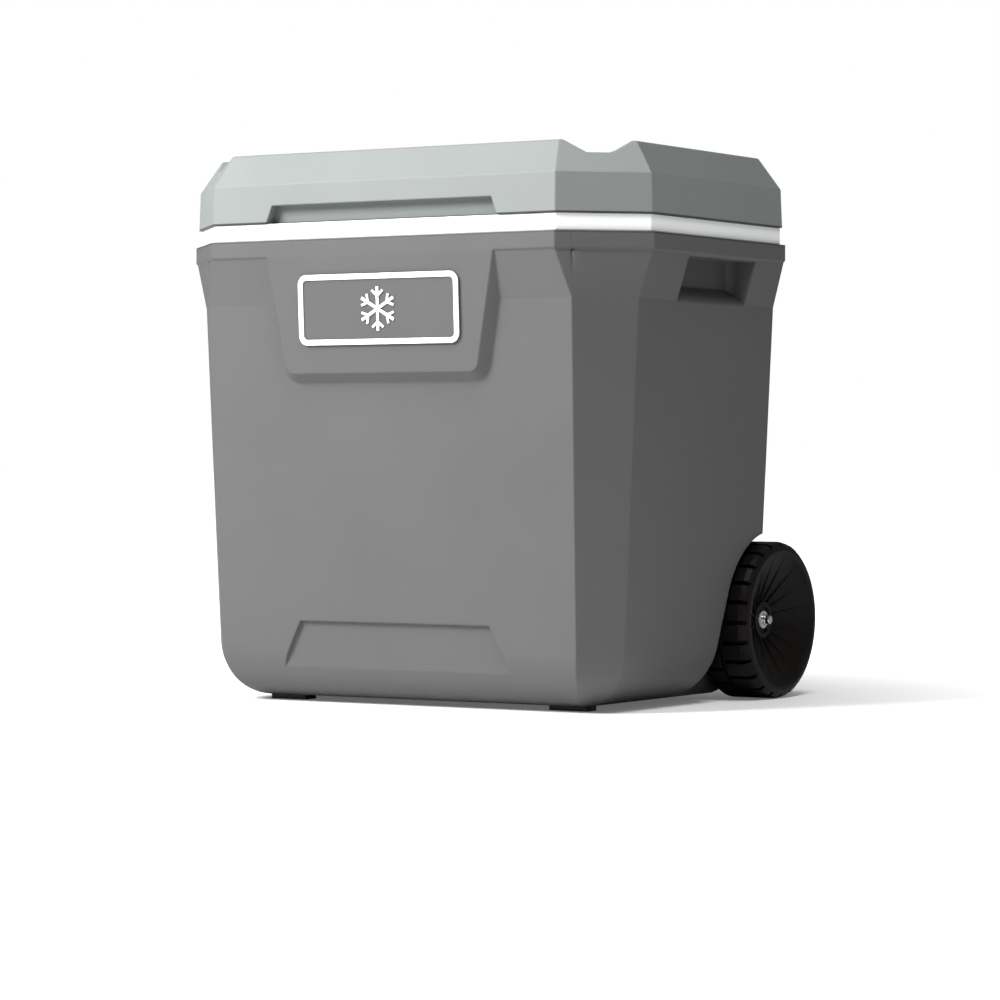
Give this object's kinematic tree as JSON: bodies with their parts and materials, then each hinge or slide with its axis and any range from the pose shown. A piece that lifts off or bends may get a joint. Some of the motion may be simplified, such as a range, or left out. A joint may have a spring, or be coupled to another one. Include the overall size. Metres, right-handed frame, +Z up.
{
  "type": "wheeled cooler box",
  "caption": "Insulated cooler box on rear wheels: hinged lid with cup recesses, moulded side grips, pull-up tow handle at the back and a low drain with a pull-off cap.",
  "frame": {"origin": "on the ground, under the middle of the overall bounding box", "axes": "+X to the right seen from the front, +Y from the front to the wheels and tow handle at the back, +Z up"},
  "size_m": [0.556, 0.4484, 0.563],
  "materials": {
    "body_grey": "satin",
    "foam": "matte",
    "white_plastic": "satin",
    "lid_grey": "satin",
    "steel": "satin",
    "hinge_grey": "satin",
    "wheel_black": "satin",
    "nylon": "satin",
    "zinc": "polished",
    "tube_black": "satin",
    "handle_black": "satin",
    "gasket": "matte",
    "drain_plastic": "satin",
    "badge_dark": "satin",
    "badge_white": "satin"
  },
  "bodies": {
    "body": {"axle": "steel", "axle_bush_left": "nylon", "axle_bush_right": "nylon", "axle_washer_left": "nylon", "axle_washer_right": "nylon", "badge_emblem": "badge_white", "badge_frame": "badge_white", "badge_plate": "badge_dark", "body_foam": "foam", "body_liner": "white_plastic", "body_shell": "body_grey", "drain_gasket": "gasket", "drain_nut": "drain_plastic", "drain_spout": "drain_plastic", "guide_screw_lower_left_1": "steel", "guide_screw_lower_left_2": "steel", "guide_screw_lower_right_1": "steel", "guide_screw_lower_right_2": "steel", "guide_screw_upper_left_1": "steel", "guide_screw_upper_left_2": "steel", "guide_screw_upper_right_1": "steel", "guide_screw_upper_right_2": "steel", "handle_guide_lower_left": "handle_black", "handle_guide_lower_right": "handle_black", "handle_guide_upper_left": "handle_black", "handle_guide_upper_right": "handle_black", "hinge_body_leaf_left": "hinge_grey", "hinge_body_leaf_right": "hinge_grey", "hinge_body_screw_left_1": "steel", "hinge_body_screw_left_2": "steel", "hinge_body_screw_right_1": "steel", "hinge_body_screw_right_2": "steel", "hinge_pin_left": "steel", "hinge_pin_right": "steel", "push_nut_left": "zinc", "push_nut_right": "zinc"},
    "lid": {"lid_shell": "lid_grey", "lid_foam": "foam", "lid_liner": "white_plastic", "hinge_lid_leaf_left": "hinge_grey", "hinge_lid_leaf_right": "hinge_grey", "hinge_lid_screw_left_1": "steel", "hinge_lid_screw_left_2": "steel", "hinge_lid_screw_right_1": "steel", "hinge_lid_screw_right_2": "steel"},
    "handle": {"handle_grip": "handle_black", "handle_stop_left": "handle_black", "handle_stop_right": "handle_black", "handle_tube_left": "tube_black", "handle_tube_right": "tube_black"},
    "wheel_left": {"wheel_left": "wheel_black"},
    "wheel_right": {"wheel_right": "wheel_black"},
    "drain_cap": {"drain_cap": "drain_plastic"}
  },
  "joints": [
    {"name": "lid_hinge", "type": "hinge", "parent": "body", "child": "lid", "pos_m": [0, 0.20017, 0.481], "axis": [1, 0, 0], "range_deg": [-95, 0]},
    {"name": "handle_slide", "type": "slide", "parent": "body", "child": "handle", "axis": [0, 0, 1], "range_m": [0, 0.33]},
    {"name": "wheel_left_spin", "type": "hinge", "parent": "body", "child": "wheel_left", "pos_m": [-0.235, 0.14217, 0.082], "axis": [1, 0, 0], "continuous": true},
    {"name": "wheel_right_spin", "type": "hinge", "parent": "body", "child": "wheel_right", "pos_m": [0.235, 0.14217, 0.082], "axis": [1, 0, 0], "continuous": true},
    {"name": "drain_cap_pull", "type": "slide", "parent": "body", "child": "drain_cap", "axis": [-1, 0, 0], "range_m": [0, 0.025]}
  ]
}
